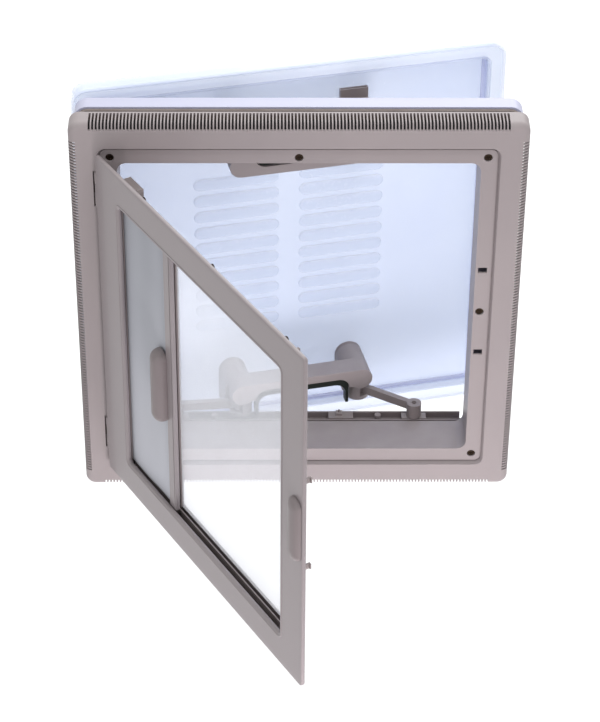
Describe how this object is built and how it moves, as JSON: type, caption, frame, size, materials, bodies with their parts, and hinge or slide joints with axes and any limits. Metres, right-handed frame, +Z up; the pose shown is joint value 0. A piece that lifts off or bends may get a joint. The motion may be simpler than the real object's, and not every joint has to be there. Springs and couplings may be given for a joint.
{
  "type": "roof hatch",
  "caption": "Square caravan roof hatch: vented inner frame, side-hinged door with a roller blind and a flyscreen, and an outer dome held tilted open by stay bars on sliding arms.",
  "frame": {"origin": "centre of the square door recess, on the room face of the inner frame", "axes": "+X to the right seen from the room, +Y out through the roof, +Z up as it stands"},
  "size_m": [0.4599, 0.5401, 0.458],
  "materials": {
    "frame_plastic": "satin warm grey",
    "outer_plastic": "pale bluish grey",
    "rail_plastic": "satin brown grey",
    "gauze": "matte black",
    "seal": "matte black",
    "steel": "satin",
    "screw_steel": "dark bronze",
    "dome_plastic": "clear with a pale blue tint",
    "pane_plastic": "clear with a pale blue tint",
    "rim_plastic": "mauve grey",
    "liner": "dark green black",
    "arm_plastic": "satin brown grey",
    "door_plastic": "satin warm grey",
    "dark_plastic": "matte charcoal",
    "roller_alu": "satin",
    "blind_cloth": "woven pale grey",
    "mesh": "fine white mesh"
  },
  "bodies": {
    "frame": {"inner_frame": "frame_plastic", "vent_grille_top": "frame_plastic", "vent_grille_bottom": "frame_plastic", "vent_grille_left": "frame_plastic", "vent_grille_right": "frame_plastic", "vent_gauze": "gauze", "outer_frame": "outer_plastic", "stay_rail_lower": "rail_plastic", "stay_rail_upper": "rail_plastic", "rail_catches": "arm_plastic", "dome_seal": "seal", "frame_screws": "screw_steel", "hinge_knuckles_fixed": "frame_plastic", "hinge_pins": "steel"},
    "dome": {"outer_dome": "dome_plastic", "dome_rim": "rim_plastic", "inner_pane": "pane_plastic", "stay_bar_lower": "frame_plastic", "stay_bar_upper": "frame_plastic", "stay_bar_liners": "liner", "stay_bar_pads": "arm_plastic", "pivot_pins": "steel"},
    "right_arms": {"right_arm_lower": "arm_plastic", "right_arm_upper": "arm_plastic"},
    "left_arms": {"left_arm_lower": "arm_plastic", "left_arm_upper": "arm_plastic"},
    "right_feet": {"right_foot_lower": "arm_plastic", "right_foot_upper": "arm_plastic"},
    "left_feet": {"left_foot_lower": "arm_plastic", "left_foot_upper": "arm_plastic"},
    "door": {"door_front": "door_plastic", "door_back_rails": "rail_plastic", "door_back_stiles": "rail_plastic", "hinge_knuckles_door": "door_plastic", "door_screws": "screw_steel", "blind_cassette": "rail_plastic", "cassette_caps": "arm_plastic", "screen_cover": "rail_plastic", "blind_fabric": "blind_cloth", "flyscreen": "mesh", "latch_spring": "steel"},
    "blind_roller": {"blind_roller": "roller_alu", "roller_spring": "steel"},
    "screen_roller": {"screen_roller": "roller_alu"},
    "blind_pull": {"blind_bar": "door_plastic", "blind_shoes": "dark_plastic", "blind_grip": "door_plastic"},
    "screen_pull": {"screen_bar": "rail_plastic", "screen_shoes": "dark_plastic"},
    "door_latch": {"door_grip": "door_plastic", "latch_hooks": "arm_plastic"}
  },
  "joints": [
    {"name": "dome_tilt", "type": "hinge", "parent": "frame", "child": "dome", "pos_m": [-0.225, 0.062, 0], "axis": [0, 0, 1], "range_deg": [-13, 0]},
    {"name": "right_arm_pivot", "type": "hinge", "parent": "dome", "child": "right_arms", "pos_m": [0.06735, 0.09819, 0], "axis": [0, 0, 1], "range_deg": [0, 69.2]},
    {"name": "right_foot_pivot", "type": "hinge", "parent": "right_arms", "child": "right_feet", "pos_m": [0.12843, 0.062, 0], "axis": [0, 0, 1], "range_deg": [-56.2, 0]},
    {"name": "left_arm_pivot", "type": "hinge", "parent": "dome", "child": "left_arms", "pos_m": [-0.06127, 0.0685, 0], "axis": [0, 0, 1], "range_deg": [-17.8, 0]},
    {"name": "left_foot_pivot", "type": "hinge", "parent": "left_arms", "child": "left_feet", "pos_m": [-0.13197, 0.062, 0], "axis": [0, 0, 1], "range_deg": [0, 30.8]},
    {"name": "door_swing", "type": "hinge", "parent": "frame", "child": "door", "pos_m": [-0.2005, -0.001, 0], "axis": [0, 0, 1], "range_deg": [-50, 59]},
    {"name": "blind_slide", "type": "slide", "parent": "door", "child": "blind_pull", "axis": [0.515, -0.8572, 0], "range_m": [-0.062, 0.214], "deforming": ["blind_fabric"]},
    {"name": "blind_roll", "type": "hinge", "parent": "door", "child": "blind_roller", "pos_m": [-0.1703, -0.02019, 0], "axis": [0, 0, 1], "range_deg": [-510, 1756]},
    {"name": "screen_slide", "type": "slide", "parent": "door", "child": "screen_pull", "axis": [0.515, -0.8572, 0], "range_m": [-0.078, 0.214], "deforming": ["flyscreen"]},
    {"name": "screen_roll", "type": "hinge", "parent": "door", "child": "screen_roller", "pos_m": [-0.00642, -0.31254, 0], "axis": [0, 0, 1], "range_deg": [-2790, 1020]},
    {"name": "latch_pull", "type": "slide", "parent": "door", "child": "door_latch", "axis": [0.515, -0.8572, 0], "range_m": [0, 0.002], "stiffness_N_per_m": 400, "springref_m": 0.002, "deforming": ["latch_spring"]}
  ],
  "couplings": [
    {"joint": "right_arm_pivot", "follows": "dome_tilt", "ratio": -5.3145},
    {"joint": "right_foot_pivot", "follows": "dome_tilt", "ratio": 4.3145},
    {"joint": "left_arm_pivot", "follows": "dome_tilt", "ratio": 1.361},
    {"joint": "left_foot_pivot", "follows": "dome_tilt", "ratio": -2.361},
    {"joint": "blind_roll", "follows": "blind_slide", "rad_per_m": 142.86},
    {"joint": "screen_roll", "follows": "screen_slide", "rad_per_m": -227.27}
  ]
}
